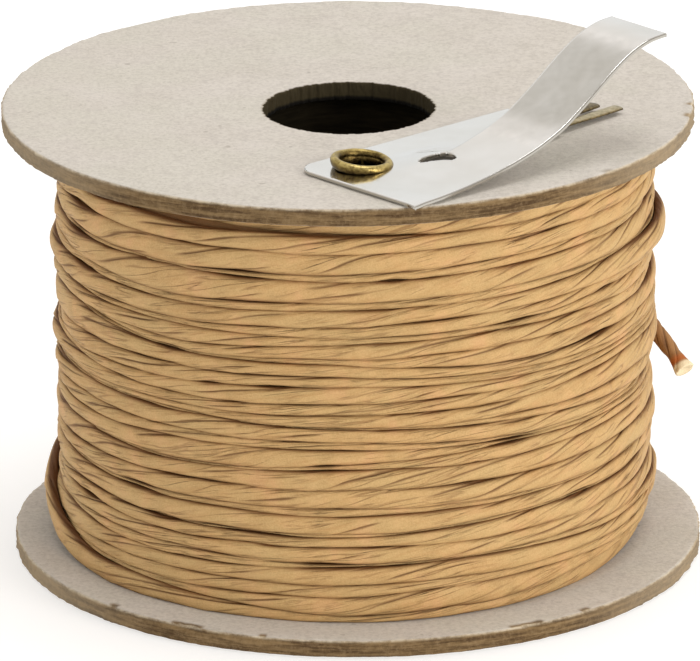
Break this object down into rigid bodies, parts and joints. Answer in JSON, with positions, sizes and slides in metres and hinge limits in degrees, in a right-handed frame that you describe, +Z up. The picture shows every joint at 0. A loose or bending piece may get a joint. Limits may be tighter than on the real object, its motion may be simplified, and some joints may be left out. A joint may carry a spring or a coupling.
{
  "type": "spool of paper twine",
  "caption": "Greyboard spool wound with twisted kraft paper twine, with a hollow core and a sprung metal cutter plate riveted to the upper flange.",
  "frame": {"origin": "centre of the underside of the lower flange, on the surface that the spool stands on", "axes": "+Z up along the spool's axis, -Y towards the viewer of the picture, +X to the right"},
  "size_m": [0.0862, 0.0857, 0.0709],
  "materials": {
    "greyboard": "matt pale grey board with a brown layered rim",
    "tube_board": "matt dark board, hidden but for the wall in the hole",
    "kraft_twine": "twisted kraft paper, matt with a slight sheen on the folds",
    "plate_metal": "polished sheet with bright cut edges",
    "old_brass": "antique brass, dark in the hollows"
  },
  "bodies": {
    "root": {"flange_bottom": "greyboard", "flange_top": "greyboard", "core_tube": "tube_board", "winding": "kraft_twine", "loose_end": "kraft_twine", "cutter_plate": "plate_metal", "eyelet": "old_brass", "split_pin": "old_brass"}
  },
  "joints": []
}
